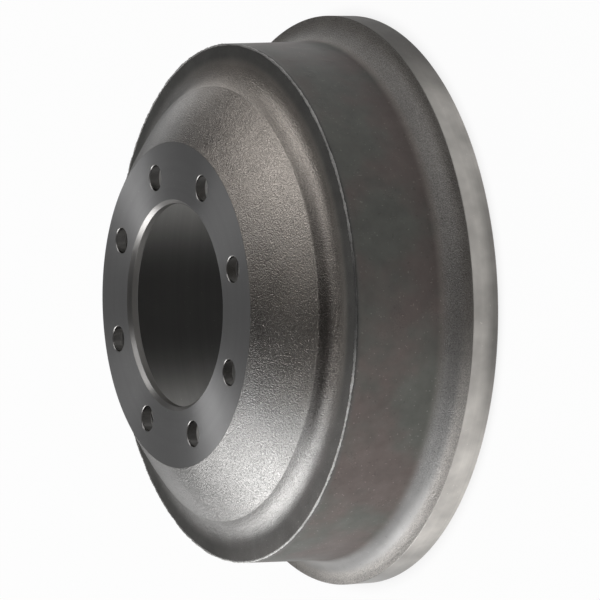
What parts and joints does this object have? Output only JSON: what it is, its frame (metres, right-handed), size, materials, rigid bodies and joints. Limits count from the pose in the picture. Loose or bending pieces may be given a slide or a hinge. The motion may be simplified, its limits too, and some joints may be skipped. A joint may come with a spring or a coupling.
{
  "type": "brake drum",
  "caption": "Brake drum: a cast iron cup with a machined hub face, pilot bore and stud holes, a dished web, a barrel and a turned rim flange.",
  "frame": {"origin": "centre of the machined rim face, the plane that the drum stands on", "axes": "+Z along the axis of rotation, from the open rim towards the hub face; +X through the centre of one stud hole"},
  "size_m": [0.3607, 0.3608, 0.127],
  "materials": {
    "cast_iron": "bare grey iron: sand cast skin, with the hub face, bore, holes, rim and braking surface machined"
  },
  "bodies": {
    "root": {"brake_drum": "cast_iron"}
  },
  "joints": []
}
